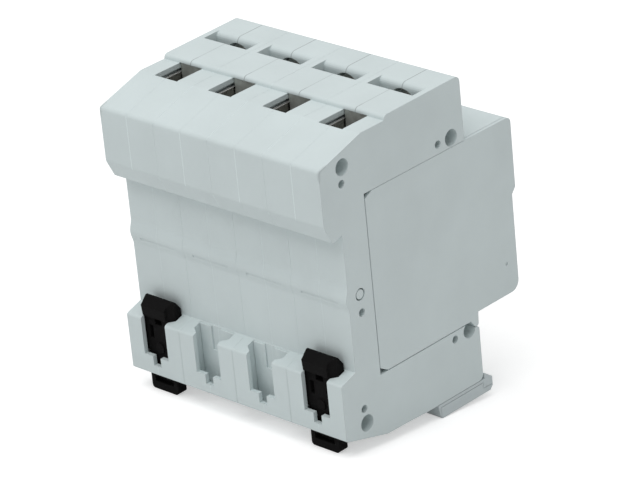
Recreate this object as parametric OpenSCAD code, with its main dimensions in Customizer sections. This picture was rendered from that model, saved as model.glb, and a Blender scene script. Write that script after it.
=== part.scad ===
// Four-pole plug-in surge arrester for a 35 mm top-hat rail.
// X runs along the rail, the front is at -Y and +Z is up.
// The origin is the middle of the rail, on the wall that the rail sits against.

/* [Poles] */
// Width of one pole along the rail
pole_pitch = 17.8; // [17.5:0.1:18.4]
// Gap that shows between neighbouring shells
seam_gap = 0.05; // [0.03:0.01:0.08]

/* [Base outline] */
// Depth of the shoulders in front of the rail wall
base_front = 43.3; // [42.5:0.1:44.5]
// Height of the top face above the rail centre
base_top = 41.1; // [40.5:0.1:42.5]
// How far the top face rises towards the front
top_rise = 0.42; // [0:0.02:0.6]
// Depth of the bottom face below the rail centre
base_bottom = 38.1; // [37.6:0.1:39.5]
// How far the upper block stands behind the rail wall
block_rear = 5.65; // [5:0.05:6.5]
// Height of the sharp upper edge of the rear block
block_top = 35.65; // [34:0.05:36.5]
// Height of the lower edge of the rear block
block_low = 21.7; // [20.5:0.05:23]
// Depth of the rail hook behind the rail wall
hook_rear = 3.34; // [2.6:0.02:4]
// Height of the tip of the rail hook
hook_low = 16.85; // [16.4:0.05:17.1]
// Drop of the wire strip below the top face
strip_drop = 1.2; // [0.8:0.1:1.6]
// Rounding of the step between the wire strip and the top face
step_round = 1; // [0.3:0.1:1]
// Distance of the front of the wire strip from the rail wall
strip_front = 17.1; // [16.8:0.1:17.6]
// Distance of the rear edge of the wire strip from the rail wall
strip_rear = 8.86; // [8.7:0.02:9.2]
// How far the foot stands behind the rail wall
foot_rear = 5; // [4.8:0.1:5.6]
// Depth of the upper rear edge of the foot below the rail centre
foot_top = 19.2; // [18.8:0.1:19.8]
// Depth of the lower rear edge of the foot below the rail centre
foot_low = 33.8; // [33.4:0.1:34.6]
// Height of the rounded ridge on the rail wall
ridge_height = 0.7; // [0.4:0.05:0.9]
// Height of the strip that the ridge takes up on the rail wall
ridge_width = 7; // [5:0.2:8]
// Rounding of the outer corners of the shoulders
corner_round = 1.5; // [0.8:0.1:2]

/* [Rail] */
// Width of the rail that the device sits on
rail_width = 35; // [34.8:0.1:35.2]
// Room above the rail in the hook
hook_room = 0.32; // [0.2:0.02:0.4]
// Room below the rail at the foot
foot_room = 0.1; // [0.05:0.05:0.3]

/* [Pocket for the cartridge] */
// Height of the pocket's roof above the rail centre
pocket_top = 24.9; // [24.6:0.05:25]
// Depth of the pocket's floor below the rail centre
pocket_low = 21.75; // [21.6:0.05:21.9]
// Distance of the pocket's rear wall from the rail wall
pocket_rear = 8.2; // [8.1:0.05:8.4]
// Depth of the front of the pocket's floor, where it slopes down
pocket_lip = 23.7; // [23.4:0.1:24]
// Gap above, behind and below a cartridge in its pocket
cartridge_gap = [0.1, 0.25, 0.2]; // [0.1:0.05:0.25]
// Gap between neighbouring cartridges
cartridge_seam = 0.12; // [0.1:0.02:0.2]

/* [Cartridge] */
// Distance of the nose's upper front from the rail wall
nose_front = 59.9; // [58:0.1:61]
// Step back of the nose's lower front
nose_step = 1.3; // [0.8:0.1:1.4]
// Height of the step in the nose's front
nose_step_top = 6.5; // [5.5:0.1:6.8]
// Depth of the nose's underside below the rail centre
nose_low = 20.05; // [19.6:0.05:20.4]
// Rounding of the nose's lower front corner
nose_round = 2.6; // [1.5:0.1:3.2]
// Thickness of the cartridge lid
lid_thickness = 0.9; // [0.7:0.05:1.2]
// Gap that shows between the lid and the housing
lid_seam = 0.12; // [0.08:0.02:0.16]
// Distance of the gate mark on the lid from the front and from the underside of the nose
gate_place = [5.1, 8]; // [4:0.1:12]
// Thickness of the housing's walls
housing_wall = 1.5; // [1.2:0.1:1.7]
// Edge length of the square varistor
varistor_size = 36; // [34:0.5:36.5]
// Thickness of the varistor
varistor_thickness = 9; // [7:0.5:11]
// Thickness of the contact blades
blade_thickness = 1; // [0.8:0.05:1.2]
// Width of the contact blades
blade_width = 7; // [6:0.5:8]
// Height of the upper blade's middle above the middle of the terminals
blade_offset = 11.5; // [10.5:0.5:12.5]
// How far the contact blades reach through their fork contacts
blade_reach = 2.2; // [1.6:0.1:2.4]
// Width and height of the status window
window_size = [6, 5]; // [4:0.5:7]
// Height of the middle of the status window
window_height = 14.4; // [13.8:0.1:14.8]

/* [Terminals] */
// Radius of the screw shank, over its thread
screw_radius = 2.45; // [2.2:0.05:2.6]
// Radius of the screw head
head_radius = 3.7; // [3.4:0.1:3.9]
// Height of the screw head
head_height = 3.4; // [2.8:0.1:3.8]
// Length of the screw under its head
screw_length = 12.2; // [11.5:0.1:12.4]
// Depth of the screw axis under the top and bottom faces
screw_depth = 5.5; // [5.4:0.05:5.7]
// Radius of the screwdriver hole
access_radius = 4.3; // [4.1:0.05:4.35]
// Distance of the open upper screws' heads from the rail wall
open_head = 34.5; // [34.2:0.1:35.2]
// Width and length of a wire entry
entry_size = [7.5, 8.3]; // [6:0.1:8.3]
// Width of the busbar slots along the rail
slot_width = 14.3; // [13.2:0.1:14.6]
// Distance of the front and rear wall of the busbar slots from the rail wall
slot_walls = [33.1, 28.95]; // [28.8:0.05:33.4]
// Rounding of the front edge of the busbar slots
slot_round = 1.5; // [0.8:0.1:1.8]
// Thickness of the roof over the cage chambers, at the wire strip
roof_thickness = 1.3; // [1.1:0.1:1.4]
// Width of the cage chambers
chamber_width = 10.8; // [10.4:0.1:11.2]
// Outer width, length and height of a cage
cage_size = [9.4, 19, 7.8]; // [7:0.1:19.5]
// How much lower a cage is at its wire end
cage_step = 0.9; // [0.6:0.1:1.2]
// Depth of the low end of a cage under the top and bottom faces
cage_depth = 10.5; // [10.2:0.1:10.8]
// Distance of the rear of an open cage from the rail wall
cage_rear = 7.6; // [7.4:0.05:7.8]
// Thickness of a cage's sides, front plate and rear plate
cage_walls = [0.8, 2, 1.4]; // [0.7:0.1:2.2]
// Gap between a cage and its chamber
cage_gap = 0.2; // [0.15:0.05:0.3]
// Thickness of the copper straps
strap_thickness = 1.6; // [1.3:0.1:1.8]
// Width of the copper straps
strap_width = 7.2; // [6.4:0.1:7.4]
// Distance of the straps' wire face from the rail wall
strap_face = 17.2; // [17:0.1:17.6]

/* [Tie rivets] */
// Radius of the rivets
rivet_radius = 1.2; // [1:0.05:1.25]
// Radius of the recess round each rivet's end
recess_radius = 2.1; // [2:0.05:2.3]
// Radius of the recess round the rivet that ends flush with the side face
flush_recess_radius = 1.55; // [1.4:0.05:1.7]
// Depth of that recess
recess_depth = 3.8; // [3.2:0.1:4]
// Radius of the small mould holes beside the rivets
mould_hole_radius = 1; // [0.7:0.05:1.1]
// Depth of the mould holes
mould_hole_depth = 2.6; // [1.8:0.1:3]

/* [Rail clips] */
// Width of the slot in the foot that shows the clip
clip_slot_width = 8.2; // [7.6:0.1:8.6]
// Depth of the lower end of that slot below the rail centre
clip_slot_low = 28.85; // [28:0.05:29.2]
// Width of the clip's channel behind the lips
channel_width = 11.6; // [11.2:0.1:12]
// Distance of the channel's floor behind the rail wall
channel_floor = 0.3; // [0.2:0.05:0.45]
// Distance behind the rail wall at which the channel narrows to its slot
lip_start = 2.6; // [2.4:0.1:2.9]
// Straight part of the lips at the rear face
lip_edge = 1.2; // [0.9:0.1:1.4]
// Width of the pull tab
tab_width = 8.9; // [7.6:0.1:9]
// Depth of the end of the pull tab below the rail centre
tab_low = 38.8; // [38.2:0.1:39.6]
// How far the clip can be pulled down
clip_travel = 4.5; // [3.5:0.1:4.6]
// Gap between the clip and its channel
clip_gap = 0.15; // [0.1:0.01:0.2]

/* [Busbar] */
// Depth of the busbar's underside below the rail centre
bus_low = 42.1; // [41.8:0.1:42.6]
// Distance of the busbar's front from the rail wall
bus_front = 46.5; // [46:0.1:47]
// Thickness of the copper comb
comb_thickness = 1.9; // [1.6:0.1:2]
// Thickness of the profile's floor and front wall
bus_wall = 1.1; // [0.9:0.1:1.2]
// Distance of the upper, middle and lower end of the busbar's rear slope from the front of the wire strip
bus_slope = [9.7, 10.3, 10.9]; // [9.5:0.1:11.2]
// How far the busbar's ends lie inside the outer sides of the row
bus_setback = 0.1; // [0.1:0.05:0.4]
// Thickness of the end caps
cap_thickness = 1.5; // [1.2:0.1:2]
// Gap between a cap and the profile
cap_gap = 0.12; // [0.08:0.02:0.16]

/* [Hidden] */
$fn = 48;
POLES = [1, 2, 3, 4];
CLIP_POLES = [1, 4];
arc_steps = 5;
ridge_steps = 8;
cut = 1;
housing_grey = [0.80, 0.83, 0.83];
cartridge_grey = [0.82, 0.85, 0.85];
busbar_grey = [0.62, 0.65, 0.66];
clip_black = [0.1, 0.1, 0.11];
steel = [0.66, 0.65, 0.62];
copper = [0.76, 0.5, 0.34];
tinned_copper = [0.66, 0.62, 0.58];
varistor_blue = [0.16, 0.27, 0.5];
flag_green = [0.15, 0.6, 0.25];

half_pole = pole_pitch / 2;
side_x = half_pole - seam_gap / 2;
cartridge_x = half_pole - cartridge_seam / 2;
row_end = len(POLES) * half_pole;
mid_z = (base_top - base_bottom) / 2;
strip_top = base_top - strip_drop;
rail_top = rail_width / 2 + hook_room;
rail_low = -rail_width / 2 - foot_room;

// Terminal places, for the upper terminal of a pole
screw_z = base_top - screw_depth;
cage_low = base_top - cage_depth;
cage_top = cage_low + cage_size[2];
cage_front = cage_rear + cage_size[1];
chamber_top = strip_top - roof_thickness;
wire_face = cage_rear + cage_walls[2];
strap_front = strap_face + strap_thickness;
strap_top = strip_top - 0.1;
strap_run_z = cage_low - cage_gap - strap_thickness - 1.2;
strap_drop_y = pocket_rear - 1.4;
jaw_z = mid_z + blade_offset;
jaw_height = blade_width + 3;
open_travel = open_head - cage_front - 0.3;
chamber_front = cage_front + open_travel + cage_gap;
comb_rear = slot_walls[1] + 0.1;
comb_front = comb_rear + comb_thickness;
clamp_gap = 0.05;
clamped_shift = comb_rear - clamp_gap - cage_front;
clamped_head = comb_front + clamp_gap;

// Rivet ends and mould holes on the side faces, as distance behind the rail wall and height.
// A rivet marked true ends flush with the side faces.
RIVETS = [
    [-1.95, block_top - 1.6],
    [-base_front + 4.45, pocket_top + recess_radius + 0.25],
    [-4, 1, true],
    [-base_front + 3.55, -pocket_low - 1.65],
    [-2.3, -foot_low + 2]
];
MOULD_HOLES = [
    [-1.3, block_top - 5.6],
    [-base_front + 9.1, pocket_top + recess_radius + 0.3],
    [-4, -3.65],
    [-base_front + 8.75, -pocket_low - 2],
    [-1.8, -foot_low + 5.9]
];

// Clip places
clip_front = channel_floor + clip_gap;
clip_rear = lip_start - clip_gap;
plate_low = -clip_slot_low + 0.45;
body_rear = foot_rear - 1.8;
lip_front = foot_rear - lip_edge;
channel_low = plate_low - clip_travel - 0.3;
head_low = -foot_top + 0.6;

// Busbar places
spine_low = -bus_low + bus_wall + 0.1;
bus_top = -base_bottom - 0.15;
bus_end = row_end - bus_setback;
cap_front = bus_front - 3.35;
cap_rear = comb_rear - 1.2;
cap_top = bus_top - 0.95;
ear_low = bus_top - 2.5;

function unit(v) = v / norm(v);

// Points of a corner p between a and b, rounded to radius r
function corner(a, p, b, r) =
    let (u = unit(a - p), v = unit(b - p))
    let (half = acos(u * v) / 2)
    let (centre = p + unit(u + v) * r / sin(half))
    let (first = p + u * r / tan(half) - centre)
    let (last = p + v * r / tan(half) - centre)
    let (start = atan2(first[1], first[0]))
    let (turn = (atan2(last[1], last[0]) - start + 540) % 360 - 180)
    [for (i = [0:arc_steps]) centre + r * [cos(start + turn * i / arc_steps), sin(start + turn * i / arc_steps)]];

// Outline from corners [y, z] or [y, z, radius]
function outline(points) =
    let (n = len(points))
    let (at = function (i) [points[(i + n) % n][0], points[(i + n) % n][1]])
    [for (i = [0:n - 1]) each len(points[i]) == 3 ? corner(at(i - 1), at(i), at(i + 1), points[i][2]) : [at(i)]];

// Height of the top face at a distance in front of the rail wall
function top_at(distance) = base_top + top_rise * (distance - strip_front) / (base_front - strip_front);

function pole_x(pole) = (len(POLES) + 1 - 2 * pole) * half_pole;

// Extrudes a side view, drawn as [y, z], along the rail
module along_rail(from, to) {
    translate([from, 0, 0]) rotate([90, 0, 90]) linear_extrude(to - from) children();
}

// Box between two corners
module block(low, high) {
    translate(low) cube(high - low);
}

// Box that is centred across the pole
module centred(width, y, z) {
    block([-width / 2, y[0], z[0]], [width / 2, y[1], z[1]]);
}

// Turns a child made along +Z to run towards the rear, from the given distance in front of the wall
module to_rear(distance, z) {
    translate([0, -distance, z]) rotate([-90, 0, 0]) children();
}

// Copies an upper terminal's piece to the lower terminal
module lower_terminal() {
    translate([0, 0, 2 * mid_z]) mirror([0, 0, 1]) children();
}

// Side view of a base, a C that is open to the front
module base_outline() {
    polygon(outline([
        [-base_front, base_top + top_rise, corner_round],
        [-base_front, pocket_top],
        [-pocket_rear, pocket_top],
        [-pocket_rear, -pocket_low],
        [-base_front + 3, -pocket_low],
        [-base_front + 1.3, -pocket_lip],
        [-base_front, -pocket_lip, 0.8],
        [-base_front, -base_bottom, corner_round],
        [-strip_front - 5.8, -base_bottom],
        [-strip_front, -base_bottom + 0.3],
        [-strip_rear, -base_bottom + 0.5],
        [foot_rear, -foot_low, 0.6],
        [foot_rear, -foot_top, 0.6],
        [0, rail_low],
        [0, rail_top],
        [hook_rear, hook_low, 0.5],
        [block_rear, block_low, 2],
        [block_rear, block_top, 0.8],
        [-strip_rear, strip_top, 0.8],
        [-strip_front + 0.2, strip_top],
        [-strip_front, base_top, step_round]
    ]));
    translate([0, RIVETS[2][1]]) polygon([
        [-cut, -ridge_width / 2],
        for (i = [-ridge_steps:ridge_steps])
            [ridge_height * (1 + cos(180 * i / ridge_steps)) / 2, ridge_width / 2 * i / ridge_steps],
        [-cut, ridge_width / 2]
    ]);
}

// Room for one terminal: cage chamber, wire entry, busbar slot, screwdriver hole and strap
module terminal_room() {
    strap_room = strap_width + 0.3;
    centred(chamber_width, [-chamber_front, -cage_rear + cage_gap], [cage_low - cage_gap, chamber_top]);
    centred(entry_size[0], [-strip_front + 0.3, -strip_front + 0.3 + entry_size[1]], [cage_top, base_top + cut]);
    along_rail(-slot_width / 2, slot_width / 2) polygon(outline([
        [-slot_walls[1], cage_low - cage_gap],
        [-slot_walls[1], base_top + cut],
        [-slot_walls[0] - slot_round - 2, base_top + cut],
        [-slot_walls[0] - slot_round - 2, top_at(slot_walls[0] + slot_round + 2)],
        [-slot_walls[0], top_at(slot_walls[0]), slot_round],
        [-slot_walls[0], cage_low - cage_gap]
    ]));
    to_rear(base_front + cut, screw_z) cylinder(r = access_radius, h = base_front + cut - slot_walls[0] + 0.1);
    centred(strap_room, [-strap_front - 0.15, -strip_front + 0.4], [cage_top, strap_top + 0.2]);
    centred(strap_room, [-strap_front - 0.15, -strap_drop_y + strap_thickness + 0.15],
            [strap_run_z - 0.15, cage_low]);
    centred(strap_room, [-strap_drop_y - 0.15, -strap_drop_y + strap_thickness + 0.15],
            [jaw_z - jaw_height / 2 - 0.3, strap_run_z + strap_thickness]);
    centred(blade_thickness + 2.4, [-strap_drop_y, -strap_drop_y + strap_thickness + 3.2],
            [jaw_z - jaw_height / 2 - 0.3, jaw_z + jaw_height / 2 + 0.3]);
    centred(blade_thickness + 0.6, [-pocket_rear - cut, -strap_drop_y],
            [jaw_z - blade_width / 2 - 0.3, jaw_z + blade_width / 2 + 0.3]);
}

// Top view of the clip's channel, which narrows to the slot in the foot's rear face
module dovetail(inset, rear) {
    wide = channel_width / 2 - inset;
    narrow = clip_slot_width / 2 - inset;
    narrow_y = lip_front - inset;
    polygon([
        [-wide, channel_floor + inset],
        [wide, channel_floor + inset],
        [wide, lip_start - inset],
        [narrow, narrow_y],
        [narrow, rear],
        [-narrow, rear],
        [-narrow, narrow_y],
        [-wide, lip_start - inset]
    ]);
}

// Channel of the rail clip in the foot, with its slot, notch and the hole for the pull tab
module clip_room() {
    notch_width = 2.6;
    translate([0, 0, -clip_slot_low]) linear_extrude(clip_slot_low) dovetail(0, foot_rear + cut);
    translate([0, 0, channel_low]) linear_extrude(-channel_low) intersection() {
        dovetail(0, foot_rear + cut);
        translate([-channel_width, 0]) square([2 * channel_width, lip_front]);
    }
    centred(notch_width, [lip_front - cut, foot_rear + cut], [-clip_slot_low - 2.45, 0]);
    centred(tab_width + 0.4, [channel_floor, lip_front], [-base_bottom - cut, channel_low + cut]);
}

// Rivet bores with their recesses, and the mould holes, on the outer face of a half-shell
module side_holes() {
    for (place = RIVETS) translate([0, place[0], place[1]]) rotate([0, 90, 0]) {
        cylinder(r = rivet_radius + 0.08, h = half_pole + cut);
        translate([0, 0, side_x - recess_depth])
            cylinder(r = place[2] == true ? flush_recess_radius : recess_radius, h = recess_depth + cut);
    }
    for (place = MOULD_HOLES) translate([side_x - mould_hole_depth, place[0], place[1]]) rotate([0, 90, 0])
        cylinder(r = mould_hole_radius, h = mould_hole_depth + cut);
}

// One half of a pole's base, on the +X side of the pole for side 1 and on the -X side for side -1
module base_shell(pole, side) {
    color(housing_grey) translate([pole_x(pole), 0, 0]) mirror([side < 0 ? 1 : 0, 0, 0]) difference() {
        along_rail(seam_gap / 4, side_x) base_outline();
        terminal_room();
        lower_terminal() terminal_room();
        clip_room();
        side_holes();
    }
}

// Side view of a cartridge
module cartridge_outline() {
    top = pocket_top - cartridge_gap[0];
    rear = pocket_rear + cartridge_gap[1];
    floor_gap = cartridge_gap[2];
    polygon(outline([
        [-nose_front, top, corner_round],
        [-nose_front, nose_step_top],
        [-nose_front + nose_step, nose_step_top - 1.6],
        [-nose_front + nose_step, -nose_low, nose_round],
        [-base_front - 0.1, -nose_low],
        [-base_front + 0.1, -pocket_lip + floor_gap, 0.5],
        [-base_front + 1.3, -pocket_lip + floor_gap],
        [-base_front + 3 - floor_gap, -pocket_low + floor_gap],
        [-rear - 2.5, -pocket_low + floor_gap],
        [-rear, -pocket_low + floor_gap + 1.4],
        [-rear, top - 1.4],
        [-rear - 2.5, top]
    ]));
}

cavity_front = nose_front - nose_step - housing_wall;
cavity_rear = pocket_rear + cartridge_gap[1] + housing_wall;
cavity_top = pocket_top - cartridge_gap[0] - housing_wall;
cavity_low = -nose_low + housing_wall;
lid_x = cartridge_x - lid_thickness;
flag_size = [window_size[0] + 1.2, 1, 2 * window_size[1] - 0.4];
flag_travel = window_size[1] + 0.2;
flag_top = cavity_top - 1.3;
flag_front = cavity_front + 1.2;
varistor_rear = cavity_rear + 5;

// Tray of a cartridge, open towards the lid
module cartridge_housing(pole) {
    color(cartridge_grey) translate([pole_x(pole), 0, 0]) difference() {
        union() {
            difference() {
                along_rail(-lid_x + lid_seam, cartridge_x) cartridge_outline();
                block([-cartridge_x, -cavity_front, cavity_low],
                      [cartridge_x - housing_wall, -cavity_rear, cavity_top]);
            }
            translate([varistor_thickness / 2 + 0.1, -varistor_rear - varistor_size / 2, mid_z]) rotate([0, 90, 0])
                cylinder(r = varistor_size / 4, h = cartridge_x - housing_wall / 2 - varistor_thickness / 2);
        }
        centred(window_size[0], [-nose_front - cut, -cavity_front],
                [window_height - window_size[1] / 2, window_height + window_size[1] / 2]);
        centred(flag_size[0] + 0.3, [-flag_front - 0.1, -cavity_front + cut],
                [flag_top - flag_size[2] - flag_travel - 0.3, flag_top + 0.15]);
        for (z = [jaw_z, 2 * mid_z - jaw_z])
            centred(blade_thickness + 0.1, [-cavity_rear - cut, 0],
                    [z - blade_width / 2 - 0.05, z + blade_width / 2 + 0.05]);
    }
}

// Flat lid on the -X side of a cartridge
module cartridge_lid(pole) {
    color(cartridge_grey) translate([pole_x(pole), 0, 0]) difference() {
        along_rail(-cartridge_x, -lid_x) cartridge_outline();
        translate([-cartridge_x, -nose_front + gate_place[0], -nose_low + gate_place[1]]) rotate([0, 90, 0])
            cylinder(r = 0.4, h = 0.5, center = true);
    }
}

// Coated square varistor block
module varistor(pole) {
    r = 4;
    half = varistor_size / 2;
    color(varistor_blue) translate([pole_x(pole), -varistor_rear - half, mid_z])
        along_rail(-varistor_thickness / 2, varistor_thickness / 2)
            polygon(outline([[-half, -half, r], [half, -half, r], [half, half, r], [-half, half, r]]));
}

// Pair of blades that plug into the fork contacts of the base
module contact_blades(pole) {
    reach = pocket_rear - strap_drop_y + strap_thickness + blade_reach;
    color(copper) translate([pole_x(pole), 0, 0]) for (z = [jaw_z, 2 * mid_z - jaw_z])
        along_rail(-blade_thickness / 2, blade_thickness / 2) polygon([
            [-varistor_rear + 0.05, z - blade_width / 2],
            [-pocket_rear + reach - 1, z - blade_width / 2],
            [-pocket_rear + reach, z - blade_width / 2 + 1],
            [-pocket_rear + reach, z + blade_width / 2 - 1],
            [-pocket_rear + reach - 1, z + blade_width / 2],
            [-varistor_rear + 0.05, z + blade_width / 2]
        ]);
}

// Slider that shows its lower half in the status window, and its upper half after it drops
module status_flag(pole) {
    color(flag_green) translate([pole_x(pole), 0, 0])
        centred(flag_size[0], [-flag_front, -flag_front + flag_size[1]], [flag_top - flag_size[2], flag_top]);
}

// Folded copper strap from a terminal to its fork contact
module strap() {
    half = strap_width / 2;
    difference() {
        union() {
            along_rail(-half, half) polygon([
                [-strap_front, strap_top],
                [-strap_front, strap_run_z],
                [-strap_drop_y, strap_run_z],
                [-strap_drop_y, jaw_z - jaw_height / 2],
                [-strap_drop_y + strap_thickness, jaw_z - jaw_height / 2],
                [-strap_drop_y + strap_thickness, strap_run_z + strap_thickness],
                [-strap_face, strap_run_z + strap_thickness],
                [-strap_face, strap_top]
            ]);
            centred(blade_thickness + 2, [-strap_drop_y, -strap_drop_y + strap_thickness + 3],
                    [jaw_z - jaw_height / 2, jaw_z + jaw_height / 2]);
        }
        centred(blade_thickness + 0.1, [-pocket_rear - cut, 0],
                [jaw_z - blade_width / 2 - 0.5, jaw_z + blade_width / 2 + 0.5]);
    }
}

module upper_strap(pole) {
    color(tinned_copper) translate([pole_x(pole), 0, 0]) strap();
}

module lower_strap(pole) {
    color(tinned_copper) translate([pole_x(pole), 0, 0]) lower_terminal() strap();
}

// Steel loop that the screw draws forwards, to press the wire against the strap
module cage() {
    difference() {
        centred(cage_size[0], [-cage_front, -cage_rear], [cage_low, cage_top]);
        centred(cage_size[0] - 2 * cage_walls[0], [-cage_front + cage_walls[1], -wire_face],
                [cage_low - cut, cage_top + cut]);
        centred(cage_size[0] + cut, [-strip_front - 1, -cage_rear + cut],
                [cage_top - cage_step, cage_top + cut]);
        to_rear(cage_front + cut, screw_z) cylinder(r = screw_radius + 0.05, h = cage_walls[1] + 2 * cut);
    }
}

module upper_cage(pole) {
    color(steel) translate([pole_x(pole), 0, 0]) cage();
}

module lower_cage(pole) {
    color(steel) translate([pole_x(pole), -clamped_shift, 0]) lower_terminal() cage();
}

// Terminal screw with a combined slot and cross recess
module screw() {
    recess = [1, 1.6];
    difference() {
        union() {
            cylinder(r = screw_radius, h = screw_length);
            translate([0, 0, -head_height]) cylinder(r = head_radius, h = head_height);
        }
        for (turn = [0, 90]) rotate([0, 0, turn]) translate([0, 0, -head_height])
            cube([recess[0], 1.5 * head_radius, 2 * recess[1]], center = true);
    }
}

module upper_screw(pole) {
    color(steel) translate([pole_x(pole), 0, 0]) to_rear(open_head, screw_z) screw();
}

module lower_screw(pole) {
    color(steel) translate([pole_x(pole), 0, 0]) lower_terminal() to_rear(clamped_head, screw_z) screw();
}

// Rivets that tie the four poles together
module tie_rivets() {
    length = 2 * (row_end - recess_depth - seam_gap);
    flush_length = 2 * (row_end - seam_gap - 0.1);
    color(steel) for (place = RIVETS) translate([0, place[0], place[1]]) rotate([0, 90, 0])
        cylinder(r = rivet_radius, h = place[2] == true ? flush_length : length, center = true);
}

// Sliding rail clip: hook head, body in the slot and behind the lips, neck and pull tab
module rail_clip(pole) {
    head_top = -13.75;
    tab_top = -foot_low - 0.9;
    tab_rear = foot_rear - 1.65;
    tab_half = tab_width / 2;
    tab_round = 0.9;
    groove_x = 2.6;
    left_end = 4;
    neck_low = plate_low - 3.25;
    boss_rear = lip_front - clip_gap - 0.05;
    color(clip_black) translate([pole_x(pole), 0, 0]) {
        difference() {
            intersection() {
                along_rail(-channel_width, channel_width) polygon([
                    [clip_front, plate_low],
                    [clip_front, head_top - 2.15],
                    [clip_front + 1.6, head_top],
                    [clip_front + 2.1, head_top],
                    [foot_rear - 0.4, head_top - 2],
                    [foot_rear - 0.7, head_low],
                    [body_rear, head_low],
                    [body_rear, plate_low]
                ]);
                translate([0, 0, -foot_low]) linear_extrude(foot_low) dovetail(clip_gap, foot_rear);
            }
            block([left_end, -cut, head_low], [channel_width, foot_rear + cut, 0]);
            centred(2.4, [body_rear - 1.4, body_rear + cut], [head_low - 2.2, head_low - 0.8]);
            for (side = [-1, 1]) translate([side * groove_x, 0, 0])
                centred(1.3, [body_rear - 1.2, body_rear + cut], [head_low - 6.2, head_low - 2.8]);
        }
        centred(clip_slot_width - 2 * clip_gap, [clip_front, body_rear], [neck_low, plate_low]);
        centred(tab_width, [clip_front, clip_rear], [tab_top, neck_low]);
        translate([0, boss_rear, plate_low + 1.4]) rotate([90, 0, 0])
            cylinder(r = 1.4, h = boss_rear - body_rear + 0.5);
        difference() {
            translate([0, tab_rear, 0]) rotate([90, 0, 0]) linear_extrude(tab_rear - clip_front)
                polygon(outline([
                    [-tab_half, tab_top],
                    [-tab_half, -tab_low, tab_round],
                    [tab_half, -tab_low, tab_round],
                    [tab_half, tab_top]
                ]));
            centred(tab_width - 2.6, [tab_rear - 1.3, tab_rear + cut], [-tab_low + 2.1, -tab_low + 3.6]);
        }
    }
}

// Side view of the insulating busbar profile, with its hooked front wall
module bus_outline() {
    polygon(outline([
        [-strip_front - bus_slope[0], bus_top],
        [-strip_front - bus_slope[1], -bus_low + 0.9],
        [-strip_front - bus_slope[2], -bus_low],
        [-bus_front + 0.9, -bus_low],
        [-bus_front, -bus_low + 1],
        [-bus_front, bus_top - 0.45, 0.4],
        [-base_front - 0.4, bus_top + 1.6, 0.4],
        [-base_front - 0.4, bus_top]
    ]));
}

module bus_profile() {
    color(busbar_grey) difference() {
        along_rail(-bus_end, bus_end) bus_outline();
        block([-bus_end + cap_thickness + cap_gap, -bus_front + bus_wall, -bus_low + bus_wall],
              [bus_end - cap_thickness - cap_gap, -comb_rear + 0.3, bus_top + 0.01]);
        for (side = [-1, 1]) translate([side * bus_end, 0, 0])
            along_rail(-cap_thickness - cap_gap, cap_thickness + cap_gap) cap_area(cap_gap);
    }
}

// Part of the profile's section that an end cap takes up
module cap_area(grow) {
    polygon([
        [-cap_rear + grow, -bus_low - cut],
        [-bus_front - cut, -bus_low - cut],
        [-bus_front - cut, ear_low + grow],
        [-cap_front - grow, ear_low + grow],
        [-cap_front - grow, cap_top + grow],
        [-cap_rear + grow, cap_top + grow]
    ]);
}

// Cap that closes one end of the profile
module bus_cap(side) {
    color(busbar_grey) translate([side * (bus_end - cap_thickness / 2), 0, 0])
        along_rail(-cap_thickness / 2, cap_thickness / 2) intersection() {
            bus_outline();
            cap_area(0);
        }
}

// Copper comb: a flat spine with a fork that rises into each lower terminal
module bus_comb() {
    spine_half = bus_end - cap_thickness - 2 * cap_gap;
    fork_half = slot_width / 2 - 0.7;
    fork_top = 2 * mid_z - screw_z + 3;
    color(copper) {
        block([-spine_half, -bus_front + bus_wall + 0.3, spine_low],
              [spine_half, -comb_rear, spine_low + comb_thickness]);
        for (pole = POLES) translate([pole_x(pole), 0, 0]) difference() {
            centred(2 * fork_half, [-comb_front, -comb_rear], [spine_low, fork_top]);
            centred(2 * screw_radius + 0.6, [-comb_front - cut, -comb_rear + cut],
                    [2 * mid_z - screw_z - screw_radius - 0.3, fork_top + cut]);
        }
    }
}

for (pole = POLES) {
    base_shell(pole, 1);
    base_shell(pole, -1);
    cartridge_housing(pole);
    cartridge_lid(pole);
    varistor(pole);
    contact_blades(pole);
    status_flag(pole);
    upper_strap(pole);
    upper_cage(pole);
    upper_screw(pole);
    lower_strap(pole);
    lower_cage(pole);
    lower_screw(pole);
}
for (pole = CLIP_POLES)
    rail_clip(pole);
tie_rivets();
bus_profile();
bus_comb();
bus_cap(1);  // left_bus_cap
bus_cap(-1);  // right_bus_cap
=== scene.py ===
"""Looks of a four-pole plug-in surge arrester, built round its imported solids.

Metres, in the part's own frame: X along the rail, the front at -Y, +Z up.
"""

import math

import bmesh
import bpy
from mathutils import Matrix, Vector


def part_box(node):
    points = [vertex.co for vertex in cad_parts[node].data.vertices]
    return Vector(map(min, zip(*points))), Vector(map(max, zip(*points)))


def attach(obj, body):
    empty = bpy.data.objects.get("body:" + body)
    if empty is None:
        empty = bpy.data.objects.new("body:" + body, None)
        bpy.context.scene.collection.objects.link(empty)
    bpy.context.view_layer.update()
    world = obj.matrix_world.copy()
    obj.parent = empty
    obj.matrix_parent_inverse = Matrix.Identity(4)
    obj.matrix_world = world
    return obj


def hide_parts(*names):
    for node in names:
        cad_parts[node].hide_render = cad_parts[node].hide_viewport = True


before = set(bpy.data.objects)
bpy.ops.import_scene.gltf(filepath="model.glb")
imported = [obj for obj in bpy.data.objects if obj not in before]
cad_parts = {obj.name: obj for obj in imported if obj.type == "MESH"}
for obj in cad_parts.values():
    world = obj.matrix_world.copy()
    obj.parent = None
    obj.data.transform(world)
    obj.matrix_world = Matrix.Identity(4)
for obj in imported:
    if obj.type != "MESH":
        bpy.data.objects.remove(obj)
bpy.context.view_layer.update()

MM = 0.001
MICRON = 0.000001
WHITE = (1, 1, 1, 1)

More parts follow.
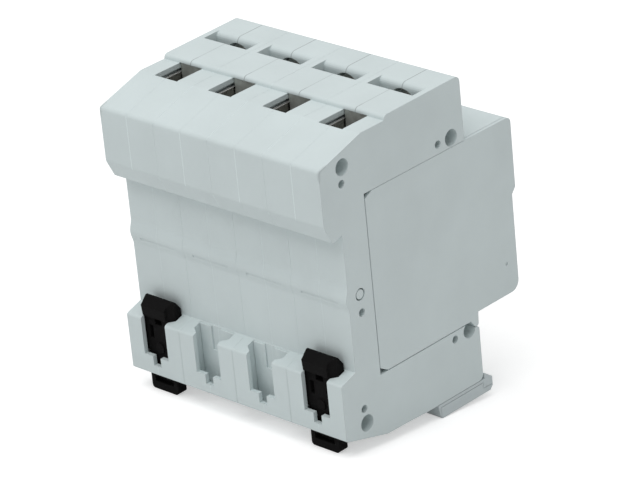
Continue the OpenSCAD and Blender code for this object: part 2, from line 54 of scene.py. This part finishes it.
# Camera of the photograph, in the part's frame
CAMERA_PLACE = Vector((-612.58, 578.34, 397.88)) * MM
CAMERA_RIGHT = Vector((-0.72967, -0.67792, -0.08953))
CAMERA_DOWN = Vector((-0.2293, 0.36593, -0.90195))
CAMERA_AHEAD = Vector((0.64421, -0.63759, -0.42245))
CAMERA_LENS = 222.16
SENSOR_WIDTH = 36.0

# The part stands tipped back on its busbar and on the ends of its clips
FLOOR_EDGE = (-28.0 * MM, -42.15 * MM)
FLOOR_TILT = math.radians(6.0)
FLOOR_REACH = 4.0
FLOOR_COLOUR = (0.8, 0.8, 0.8, 1)
FLOOR_GLOW = 0.45

# Light: a wide soft box overhead, and an even surround
KEY_DIRECTION = Vector((0.0, 0.26, 0.966))
KEY_DISTANCE = 1.2
KEY_SIZE = 1.2
KEY_POWER = 9.0
SURROUND = 0.515

# Places on the part that its materials follow
POLE_PITCH = 17.8 * MM
ROW_END = 35.6 * MM
SLOT_Y = -31.0 * MM
STEP_Y = -17.1 * MM
FOOT_TOP_Z = -19.0 * MM
BLOCK_LOW_Z = 21.0 * MM
BLOCK_EDGE = (5.65 * MM, 35.65 * MM)
PLUG_PLACE = (-4.0 * MM, 1.0 * MM)
PLUG_REACH = 3.0 * MM

# Pieces that the scene adds
EMPTY_SLOTS = {2: POLE_PITCH / 2, 3: -POLE_PITCH / 2}
BASE_BODY = "base"
HEAD_HEIGHT = 3.4 * MM
THREAD_PITCH = 0.8 * MM
THREAD_DEPTH = 0.45 * MM
SHANK_RADIUS = 2.45 * MM

# Colours
HOUSING_COLOUR = (0.60, 0.675, 0.68)
BUSBAR_COLOUR = (0.535, 0.597, 0.61)
CLIP_COLOUR = (0.0092, 0.0090, 0.0091)
VARISTOR_COLOUR = (0.02, 0.07, 0.22)
COPPER, COPPER_STAIN = (0.70, 0.36, 0.22), (0.52, 0.25, 0.15)
TIN, TIN_STAIN = (0.63, 0.665, 0.625), (0.38, 0.385, 0.357)
# The third cage colour is a painted highlight for the cage's edges that look up or down
CAGE, CAGE_STAIN, CAGE_HIGHLIGHT = (0.46, 0.45, 0.43), (0.36, 0.35, 0.33), (0.93, 0.92, 0.90)
SCREW, SCREW_STAIN = (0.60, 0.59, 0.56), (0.44, 0.43, 0.40)
RIVET, RIVET_STAIN = (0.58, 0.57, 0.54), (0.45, 0.44, 0.41)
FLAG_GREEN, FLAG_DARK_GREEN, FLAG_RED = (0.04, 0.34, 0.09), (0.03, 0.30, 0.07), (0.55, 0.03, 0.02)

# Shade of the moulding line in the middle of a pole, against the plastic round it: a painted highlight on
# the upright faces at the back, and painted shade of the seam on top and in front
LINE_HIGHLIGHT_ON_BLOCK = 1.25
LINE_HIGHLIGHT_ON_WALL = 1.1
LINE_SHADE_ON_TOP = 0.75
LINE_SHADE_IN_FRONT = 0.5

# Shade of the joint between two poles: painted shade on the foot, and a painted highlight on the foot's
# top, on the slope and on the upright faces above the foot
JOINT_SHADE_ON_FOOT = 0.93
JOINT_HIGHLIGHT_ON_FOOT_TOP = 1.05
JOINT_HIGHLIGHT_ON_SLOPE = 1.09
JOINT_HIGHLIGHT_UPRIGHT = 1.02

# Grain of the surfaces, in features per metre
PLASTIC_CLOUDS = 70.0
PLASTIC_SHEEN = 900.0
PLASTIC_GRAIN = 4200.0
METAL_STAINS = 260.0
METAL_SHEEN = 700.0
METAL_GRAIN = 1500.0

# Sockets of a Mix node in its colour mode
MIX_FACTOR, MIX_FIRST, MIX_SECOND, MIX_RESULT = 0, 6, 7, 2


def add_camera():
    data = bpy.data.cameras.new("camera")
    data.lens = CAMERA_LENS
    data.sensor_width = SENSOR_WIDTH
    data.sensor_fit = "HORIZONTAL"
    camera = bpy.data.objects.new("camera", data)
    turn = Matrix((CAMERA_RIGHT, -CAMERA_DOWN, -CAMERA_AHEAD)).transposed()
    camera.matrix_world = Matrix.Translation(CAMERA_PLACE) @ turn.to_4x4()
    bpy.context.scene.collection.objects.link(camera)
    bpy.context.scene.camera = camera


def new_tree(name):
    """A new node material without nodes, its tree and its output."""
    material = bpy.data.materials.new(name)
    material.use_nodes = True
    tree = material.node_tree
    tree.nodes.clear()
    output = tree.nodes.new("ShaderNodeOutputMaterial")
    return material, tree, output


def set_input(tree, socket, value):
    """Links the socket from another one, or sets it to a plain value."""
    if isinstance(value, bpy.types.NodeSocket):
        tree.links.new(value, socket)
    else:
        socket.default_value = value


def add_node(tree, kind, **inputs):
    """A node with its named inputs set to values or linked from sockets."""
    node = tree.nodes.new(kind)
    for name, value in inputs.items():
        set_input(tree, node.inputs[name.replace("_", " ")], value)
    return node


def add_surface(tree, output, **inputs):
    """The material's surface, with its named inputs set or linked."""
    shader = add_node(tree, "ShaderNodeBsdfPrincipled", **inputs)
    tree.links.new(shader.outputs[0], output.inputs["Surface"])


def calculate(tree, operation, first, second=0.0, third=0.0):
    """Result of a math node, with each input a value or a socket."""
    node = tree.nodes.new("ShaderNodeMath")
    node.operation = operation
    for socket, value in zip(node.inputs, (first, second, third)):
        set_input(tree, socket, value)
    return node.outputs[0]


def mix_shaders(tree, factor, first, second):
    node = tree.nodes.new("ShaderNodeMixShader")
    for socket, value in zip(node.inputs, (factor, first, second)):
        tree.links.new(value, socket)
    return node.outputs[0]


def mix_colours(tree, factor, first, second):
    node = tree.nodes.new("ShaderNodeMix")
    node.data_type = "RGBA"
    for index, value in ((MIX_FACTOR, factor), (MIX_FIRST, first), (MIX_SECOND, second)):
        set_input(tree, node.inputs[index], value)
    return node.outputs[MIX_RESULT]


def shade(colour, factor=1.0):
    """The colour made lighter or darker, with full alpha."""
    return tuple(min(1.0, c * factor) for c in colour) + (1.0,)


def seen_directly(tree):
    """1 for rays from the camera and for mirrored or refracted ones, else 0."""
    path = tree.nodes.new("ShaderNodeLightPath")
    total = path.outputs["Is Camera Ray"]
    for name in ("Is Glossy Ray", "Is Transmission Ray"):
        total = calculate(tree, "MAXIMUM", total, path.outputs[name])
    return total


def add_world():
    world = bpy.data.worlds.new("studio")
    world.use_nodes = True
    bpy.context.scene.world = world
    tree = world.node_tree
    tree.nodes.clear()
    surround = add_node(tree, "ShaderNodeBackground", Color=WHITE, Strength=SURROUND)
    white = add_node(tree, "ShaderNodeBackground", Color=WHITE, Strength=1.0)
    mix = mix_shaders(tree, seen_directly(tree), surround.outputs[0], white.outputs[0])
    output = tree.nodes.new("ShaderNodeOutputWorld")
    tree.links.new(mix, output.inputs["Surface"])


def add_floor():
    mesh = bpy.data.meshes.new("floor")
    corners = [(-FLOOR_REACH, -FLOOR_REACH, 0), (FLOOR_REACH, -FLOOR_REACH, 0),
               (FLOOR_REACH, FLOOR_REACH, 0), (-FLOOR_REACH, FLOOR_REACH, 0)]
    mesh.from_pydata(corners, [], [(0, 1, 2, 3)])
    floor = bpy.data.objects.new("floor", mesh)
    floor.location = (0, FLOOR_EDGE[0], FLOOR_EDGE[1])
    floor.rotation_euler = (FLOOR_TILT, 0, 0)
    bpy.context.scene.collection.objects.link(floor)
    material, tree, output = new_tree("floor")
    paper = add_node(tree, "ShaderNodeBsdfDiffuse", Color=FLOOR_COLOUR)
    glow = add_node(tree, "ShaderNodeEmission", Color=WHITE, Strength=FLOOR_GLOW)
    both = tree.nodes.new("ShaderNodeAddShader")
    tree.links.new(paper.outputs[0], both.inputs[0])
    tree.links.new(glow.outputs[0], both.inputs[1])
    mix = mix_shaders(tree, seen_directly(tree), paper.outputs[0], both.outputs[0])
    tree.links.new(mix, output.inputs["Surface"])
    mesh.materials.append(material)


def add_key_light():
    data = bpy.data.lights.new("key", "AREA")
    data.shape = "SQUARE"
    data.size = KEY_SIZE
    data.energy = KEY_POWER
    light = bpy.data.objects.new("key", data)
    light.location = KEY_DIRECTION.normalized() * KEY_DISTANCE
    light.rotation_euler = KEY_DIRECTION.to_track_quat("Z", "Y").to_euler()
    bpy.context.scene.collection.objects.link(light)


def noise(tree, scale, detail=2.0, stretch=None):
    """Factor of a noise in the piece's own coordinates, with scale in features per metre."""
    place = tree.nodes.new("ShaderNodeTexCoord").outputs["Object"]
    if stretch:
        mapping = add_node(tree, "ShaderNodeMapping", Vector=place, Scale=stretch)
        place = mapping.outputs[0]
    texture = add_node(tree, "ShaderNodeTexNoise", Vector=place, Scale=scale, Detail=detail)
    return texture.outputs["Fac"]


def between(tree, factor, low, high):
    """Factor mapped from the noise's usual span to low..high."""
    node = add_node(tree, "ShaderNodeMapRange", Value=factor, From_Min=0.3, From_Max=0.7,
                    To_Min=low, To_Max=high)
    return node.outputs[0]


def fade(tree, value, full, none):
    """1 where value is full, falling smoothly to 0 where it is none."""
    node = add_node(tree, "ShaderNodeMapRange", Value=value, From_Min=full, From_Max=none,
                    To_Min=1.0, To_Max=0.0)
    node.interpolation_type = "SMOOTHSTEP"
    return node.outputs[0]


def split(tree, vector):
    """X, Y and Z of a vector socket."""
    parts = add_node(tree, "ShaderNodeSeparateXYZ", Vector=vector)
    return parts.outputs["X"], parts.outputs["Y"], parts.outputs["Z"]


def own_place(tree):
    """X, Y and Z of the shaded point in the part's frame at rest."""
    return split(tree, tree.nodes.new("ShaderNodeTexCoord").outputs["Object"])


def own_normal(tree):
    """X, Y and Z of the surface's normal before any softening."""
    return split(tree, tree.nodes.new("ShaderNodeNewGeometry").outputs["Normal"])


def from_line(tree, y, z):
    """Distance of the shaded point from a line along the row at y and z."""
    place = tree.nodes.new("ShaderNodeTexCoord").outputs["Object"]
    across = add_node(tree, "ShaderNodeMapping", Vector=place, Scale=(0, 1, 1)).outputs[0]
    distance = tree.nodes.new("ShaderNodeVectorMath")
    distance.operation = "DISTANCE"
    tree.links.new(across, distance.inputs[0])
    distance.inputs[1].default_value = (0, y, z)
    return distance.outputs["Value"]


def housing_edge(tree, edge):
    """Radius of the housing's softened edges, larger along the block's upper rear edge."""
    added_radius = 1.4 * MM
    near = fade(tree, from_line(tree, *BLOCK_EDGE), 1.6 * MM, 3.2 * MM)
    return calculate(tree, "MULTIPLY_ADD", near, added_radius, edge)


def sharp_seams(tree, softened):
    """Softened normal without its lean along the row, apart from the row's two ends."""
    true_x = own_normal(tree)[0]
    soft_x, soft_y, soft_z = split(tree, softened)
    from_middle = calculate(tree, "ABSOLUTE", own_place(tree)[0])
    inside = fade(tree, from_middle, ROW_END - 2 * MM, ROW_END - 1 * MM)
    lean = calculate(tree, "MULTIPLY", calculate(tree, "SUBTRACT", true_x, soft_x), inside)
    straight_x = calculate(tree, "ADD", soft_x, lean)
    joined = add_node(tree, "ShaderNodeCombineXYZ", X=straight_x, Y=soft_y, Z=soft_z)
    unit = tree.nodes.new("ShaderNodeVectorMath")
    unit.operation = "NORMALIZE"
    tree.links.new(joined.outputs[0], unit.inputs[0])
    return unit.outputs[0]


def worked_normal(tree, grain_scale, grain_height, edge, stretch=None, seams=False):
    """Normal with softened edges and a fine surface grain; edge and height in metres."""
    bevel = add_node(tree, "ShaderNodeBevel", Radius=housing_edge(tree, edge) if seams else edge)
    bevel.samples = 6
    softened = sharp_seams(tree, bevel.outputs[0]) if seams else bevel.outputs[0]
    bump = add_node(tree, "ShaderNodeBump", Strength=1.0, Distance=grain_height,
                    Height=noise(tree, grain_scale, 3.0, stretch), Normal=softened)
    return bump.outputs[0]


def painted_seam_light(tree, tint, colour):
    """Tint with painted light along the seams of the shells: on the moulding line in the middle of each
    pole a painted highlight at the back and painted shade on top, and on the joint between two poles
    painted shade on the foot and a painted highlight above it, which hardly shows."""
    half_pitch = POLE_PITCH / 2
    line_width = 0.16 * MM
    x, y, z = own_place(tree)
    _, rearward, upward = own_normal(tree)

    # Where the shaded point lies
    from_middle = calculate(tree, "PINGPONG", calculate(tree, "ADD", x, half_pitch), half_pitch)
    from_joint = calculate(tree, "PINGPONG", x, half_pitch)
    from_step = calculate(tree, "ABSOLUTE", calculate(tree, "SUBTRACT", y, STEP_Y))
    middle = fade(tree, from_middle, 0.3 * line_width, line_width)
    joint = fade(tree, from_joint, line_width, 2 * line_width)
    upright = fade(tree, rearward, 0.97, 0.9)
    level = fade(tree, upward, 0.995, 0.97)
    on_block = fade(tree, z, BLOCK_LOW_Z, BLOCK_LOW_Z - 1 * MM)
    above_foot = fade(tree, z, FOOT_TOP_Z, FOOT_TOP_Z - 1 * MM)
    in_front = fade(tree, y, SLOT_Y - 1 * MM, SLOT_Y + 1 * MM)
    at_step = fade(tree, from_step, 1.5 * MM, 3.5 * MM)

    # The painted shade of the line in the middle is strongest in front and at the step, also on their
    # rounded edges
    strong = calculate(tree, "MAXIMUM", in_front, at_step)
    rounded = calculate(tree, "MULTIPLY", strong, fade(tree, upward, 0.1, 0.0))
    at_back = calculate(tree, "MULTIPLY", middle, upright)
    on_top = calculate(tree, "MULTIPLY", middle, calculate(tree, "MAXIMUM", level, rounded))
    # Painted highlight on the line on upright faces at the back, painted shade on it on top and in front
    line_highlight = mix_colours(tree, on_block, shade(colour, LINE_HIGHLIGHT_ON_WALL), shade(colour, LINE_HIGHLIGHT_ON_BLOCK))
    line_shade = mix_colours(tree, strong, shade(colour, LINE_SHADE_ON_TOP), shade(colour, LINE_SHADE_IN_FRONT))
    tint = mix_colours(tree, at_back, tint, line_highlight)
    tint = mix_colours(tree, on_top, tint, line_shade)

    # The joint's painted highlight and painted shade show on all faces that look to the rear
    at_joint = calculate(tree, "MULTIPLY", joint, fade(tree, rearward, 0.2, 0.1))
    # Painted highlight on the joint above the foot, painted shade on it on the foot
    joint_highlight = mix_colours(tree, on_block, shade(colour, JOINT_HIGHLIGHT_ON_FOOT_TOP), shade(colour, JOINT_HIGHLIGHT_ON_SLOPE))
    joint_highlight_above = mix_colours(tree, upright, joint_highlight, shade(colour, JOINT_HIGHLIGHT_UPRIGHT))
    joint_light_and_shade = mix_colours(tree, above_foot, shade(colour, JOINT_SHADE_ON_FOOT), joint_highlight_above)
    return mix_colours(tree, at_joint, tint, joint_light_and_shade)


def plastic(name, colour, roughness, edge, grain_height, specular=0.4, clouds=0.03, lit_seams=False):
    """Moulded plastic: cloudy colour, uneven sheen, fine spark-eroded grain, and on request painted
    highlight and painted shade along the shells' seams, with sharp seams in the normal.
    """
    unevenness = 0.05
    material, tree, output = new_tree(name)
    soft = between(tree, noise(tree, PLASTIC_CLOUDS, 3.0), 0.0, 1.0)
    tint = mix_colours(tree, soft, shade(colour, 1 - clouds), shade(colour, 1 + clouds))
    if lit_seams:
        # Painted highlight and painted shade along the shells' seams
        tint = painted_seam_light(tree, tint, colour)
    sheen = between(tree, noise(tree, PLASTIC_SHEEN), roughness - unevenness, roughness + unevenness)
    normal = worked_normal(tree, PLASTIC_GRAIN, grain_height, edge, seams=lit_seams)
    add_surface(tree, output, Base_Color=tint, Roughness=sheen, Normal=normal, Specular_IOR_Level=specular)
    return material


def metal(name, colour, stain, roughness, metallic=1.0):
    """Plated or bare strip: grain drawn along Y and light staining."""
    unevenness = 0.08
    material, tree, output = new_tree(name)
    patches = between(tree, noise(tree, METAL_STAINS, 4.0), 0.0, 1.0)
    tint = mix_colours(tree, patches, shade(colour), shade(stain))
    sheen = between(tree, noise(tree, METAL_SHEEN, 3.0), roughness - unevenness, roughness + unevenness)
    normal = worked_normal(tree, METAL_GRAIN, 12 * MICRON, 0.12 * MM, (1, 12, 1))
    add_surface(tree, output, Base_Color=tint, Roughness=sheen, Normal=normal, Metallic=metallic)
    return material


def cage_material():
    """Plated steel strip bent to a loop: stained metal faces, and a painted highlight on its sheared edges
    that look up or down.
    """
    material, tree, output = new_tree("cage")
    upward = own_normal(tree)[2]
    # Painted highlight: faces that look up or down get a near-white colour and less metal
    lit_edge = fade(tree, calculate(tree, "ABSOLUTE", upward), 0.9, 0.7)
    face = mix_colours(tree, noise(tree, METAL_STAINS, 4.0), shade(CAGE), shade(CAGE_STAIN))
    tint = mix_colours(tree, lit_edge, face, shade(CAGE_HIGHLIGHT))
    metallic = calculate(tree, "MULTIPLY_ADD", lit_edge, -0.9, 1.0)
    sheen = between(tree, noise(tree, METAL_SHEEN, 3.0), 0.22, 0.32)
    normal = worked_normal(tree, METAL_GRAIN, 8 * MICRON, 0.15 * MM, (1, 1, 12))
    add_surface(tree, output, Base_Color=tint, Metallic=metallic, Roughness=sheen, Normal=normal)
    return material


def screw_material():
    """Zinc plated steel with light staining and worn edges."""
    material, tree, output = new_tree("screw")
    tint = mix_colours(tree, noise(tree, 320.0, 4.0), shade(SCREW_STAIN), shade(SCREW))
    sheen = between(tree, noise(tree, METAL_SHEEN, 3.0), 0.28, 0.42)
    normal = worked_normal(tree, 2500.0, 8 * MICRON, 0.12 * MM)
    add_surface(tree, output, Base_Color=tint, Metallic=1.0, Roughness=sheen, Normal=normal)
    return material


def flag_material():
    """Status flag: green below and red above, so that it shows red once it has dropped."""
    material, tree, output = new_tree("flag")
    low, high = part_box("status_flag_1")
    above = calculate(tree, "GREATER_THAN", own_place(tree)[2], (low.z + high.z) / 2)
    green = mix_colours(tree, noise(tree, 500.0), shade(FLAG_DARK_GREEN), shade(FLAG_GREEN))
    tint = mix_colours(tree, above, green, shade(FLAG_RED))
    sheen = between(tree, noise(tree, PLASTIC_SHEEN), 0.25, 0.35)
    normal = worked_normal(tree, PLASTIC_GRAIN, 4 * MICRON, 0.1 * MM)
    add_surface(tree, output, Base_Color=tint, Roughness=sheen, Normal=normal)
    return material


def rivet_material():
    """Plated rivets, apart from the middle one, whose ends are grey plastic."""
    material, tree, output = new_tree("rivets")
    plug = calculate(tree, "LESS_THAN", from_line(tree, *PLUG_PLACE), PLUG_REACH)
    plated = mix_colours(tree, noise(tree, 400.0), shade(RIVET_STAIN), shade(RIVET))
    tint = mix_colours(tree, plug, plated, shade(HOUSING_COLOUR))
    metallic = calculate(tree, "SUBTRACT", 1.0, plug)
    sheen = between(tree, noise(tree, METAL_SHEEN), 0.35, 0.5)
    normal = worked_normal(tree, 3000.0, 6 * MICRON, 0.15 * MM)
    add_surface(tree, output, Base_Color=tint, Metallic=metallic, Roughness=sheen, Normal=normal)
    return material


def dress_nodes():
    """Gives every solid of the frame its material, and adds the pieces that the scene makes."""
    housing = plastic("housing", HOUSING_COLOUR, 0.55, 0.2 * MM, 10 * MICRON, lit_seams=True)
    cartridge = plastic("cartridge", HOUSING_COLOUR, 0.52, 0.2 * MM, 8 * MICRON)
    busbar = plastic("busbar", BUSBAR_COLOUR, 0.45, 0.2 * MM, 6 * MICRON)
    clip = plastic("clip", CLIP_COLOUR, 0.42, 0.25 * MM, 8 * MICRON, specular=0.01, clouds=0.1)
    varistor = plastic("varistor", VARISTOR_COLOUR, 0.3, 0.8 * MM, 30 * MICRON, specular=0.5, clouds=0.1)
    cage = cage_material()
    screw = screw_material()
    copper = metal("copper", COPPER, COPPER_STAIN, 0.38)
    tinned = metal("tinned", TIN, TIN_STAIN, 0.38, metallic=0.5)
    by_kind = {
        "base_left_shell": housing, "base_right_shell": housing,
        "cartridge_housing": cartridge, "cartridge_lid": cartridge,
        "varistor": varistor, "contact_blades": copper, "status_flag": flag_material(),
        "upper_strap": tinned, "lower_strap": tinned,
        "upper_cage": cage, "lower_cage": cage,
        "upper_screw": screw, "lower_screw": screw,
        "rail_clip": clip, "tie_rivets": rivet_material(),
        "bus_profile": busbar, "left_bus_cap": busbar, "right_bus_cap": busbar, "bus_comb": copper,
    }
    for name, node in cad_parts.items():
        kind = name.rstrip("0123456789").rstrip("_")
        node.data.materials.clear()
        node.data.materials.append(by_kind[kind])
        if kind in ("upper_screw", "lower_screw"):
            add_threaded_screw(name, node, screw)
    for pole, centre in EMPTY_SLOTS.items():
        add_slot_floor(pole, centre, cartridge)


def new_piece(work, name, material):
    """An object of the scene from a worked mesh, which is freed."""
    mesh = bpy.data.meshes.new(name)
    work.to_mesh(mesh)
    work.free()
    mesh.materials.append(material)
    piece = bpy.data.objects.new(mesh.name, mesh)
    bpy.context.scene.collection.objects.link(piece)
    return piece


def add_shank(work, centre, start, length):
    """Closed shank with a rounded right-hand thread, along +Y from start."""
    around = 32
    per_pitch = 8
    rows = int(length / THREAD_PITCH * per_pitch)
    fading = THREAD_PITCH * 1.2
    rings = []
    for row in range(rows + 1):
        along = length * row / rows
        strength = min(1.0, along / fading, (length - along) / fading)
        ring = []
        for step in range(around):
            turn = 2 * math.pi * step / around
            wave = 0.5 + 0.5 * math.cos(2 * math.pi * along / THREAD_PITCH - turn)
            radius = SHANK_RADIUS - THREAD_DEPTH * (1 - wave * strength)
            ring.append(work.verts.new((centre.x + radius * math.sin(turn), start + along,
                                        centre.z + radius * math.cos(turn))))
        rings.append(ring)
    for ring, following in zip(rings, rings[1:]):
        for step in range(around):
            after = (step + 1) % around
            face = work.faces.new((ring[step], ring[after], following[after], following[step]))
            face.smooth = True
    work.faces.new(rings[0])
    work.faces.new(rings[-1])


def add_threaded_screw(name, node, material):
    """The solid's head as it is, on a shank with a real thread."""
    low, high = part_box(name)
    centre = (low + high) / 2
    under_head = low.y + HEAD_HEIGHT
    near = 0.01 * MM
    work = bmesh.new()
    work.from_mesh(node.data)
    bmesh.ops.remove_doubles(work, verts=work.verts, dist=near / 10)
    shank = [face for face in work.faces if max(v.co.y for v in face.verts) > under_head + near]
    bmesh.ops.delete(work, geom=shank, context="FACES")
    bmesh.ops.holes_fill(work, edges=[edge for edge in work.edges if edge.is_boundary], sides=0)
    add_shank(work, centre, under_head, high.y - under_head)
    bmesh.ops.recalc_face_normals(work, faces=work.faces)
    piece = new_piece(work, name + "_threaded", material)
    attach(piece, name)
    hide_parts(name)


def add_slot_floor(pole, centre, material):
    """Raised floor of a clip slot that has no clip, with a guide groove open at its top."""
    half_width = 5.75 * MM
    top, groove_end, low = -17.85 * MM, -24.0 * MM, -33.0 * MM
    groove = (-1.2 * MM, 1.95 * MM)
    front, rear = 0.3 * MM, 0.75 * MM
    edge = 0.12 * MM
    outline = [(-half_width, low), (half_width, low), (half_width, top), (groove[1], top),
               (groove[1], groove_end), (groove[0], groove_end), (groove[0], top), (-half_width, top)]
    work = bmesh.new()
    corners = [work.verts.new((centre + x, rear, z)) for x, z in outline]
    face = work.faces.new(corners)
    grown = bmesh.ops.extrude_face_region(work, geom=[face])
    moved = [item for item in grown["geom"] if isinstance(item, bmesh.types.BMVert)]
    bmesh.ops.translate(work, verts=moved, vec=(0, front - rear, 0))
    bmesh.ops.recalc_face_normals(work, faces=work.faces)
    rims = [e for e in work.edges if all(abs(v.co.y - rear) < edge / 10 for v in e.verts)]
    bmesh.ops.bevel(work, geom=rims, offset=edge, segments=3, profile=0.5, affect="EDGES")
    piece = new_piece(work, "slot_floor_" + str(pole), material)
    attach(piece, BASE_BODY)


bpy.context.scene.view_settings.view_transform = "Standard"
add_camera()
add_world()
add_floor()
add_key_light()
dress_nodes()
